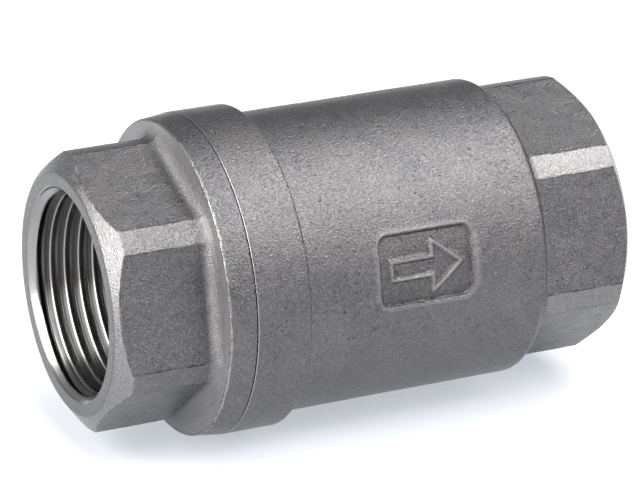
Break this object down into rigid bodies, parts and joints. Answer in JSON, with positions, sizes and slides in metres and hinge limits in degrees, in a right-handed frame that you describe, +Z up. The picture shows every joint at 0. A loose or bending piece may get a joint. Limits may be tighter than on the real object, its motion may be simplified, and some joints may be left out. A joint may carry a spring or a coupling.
{
  "type": "check valve",
  "caption": "Two-piece in-line spring check valve in cast stainless steel, with female pipe threads and wrench hexagons at both ends.",
  "frame": {"origin": "on the flow axis, midway between the two end faces", "axes": "+X along the flow, from the inlet end cap to the outlet end; +Z up as the valve lies on its side"},
  "size_m": [0.085, 0.0494, 0.0494],
  "materials": {
    "cast_stainless": "satin investment casting, with turned bright ends and corners",
    "turned_stainless": "turned, semi-bright",
    "spring_steel": "drawn stainless spring wire and strip",
    "ptfe": "waxy white PTFE"
  },
  "bodies": {
    "housing": {"body": "cast_stainless", "end_cap": "cast_stainless", "joint_gasket": "ptfe", "stem_guide": "turned_stainless", "guide_bush": "ptfe", "guide_retaining_ring": "spring_steel", "spring": "spring_steel"},
    "spring_follower": {"spring_washer": "turned_stainless"},
    "poppet": {"poppet_disc": "turned_stainless", "seat_seal": "ptfe", "seal_retainer": "turned_stainless", "lock_washer": "spring_steel", "retainer_nut": "turned_stainless", "poppet_stem": "turned_stainless", "stem_clip": "spring_steel"}
  },
  "joints": [
    {"name": "poppet_lift", "type": "slide", "parent": "housing", "child": "spring_follower", "axis": [1, 0, 0], "range_m": [0, 0.007], "stiffness_N_per_m": 300, "springref_m": -0.005, "deforming": ["spring"]},
    {"name": "poppet_spin", "type": "hinge", "parent": "spring_follower", "child": "poppet", "pos_m": [0, 0, 0], "axis": [1, 0, 0], "continuous": true}
  ]
}
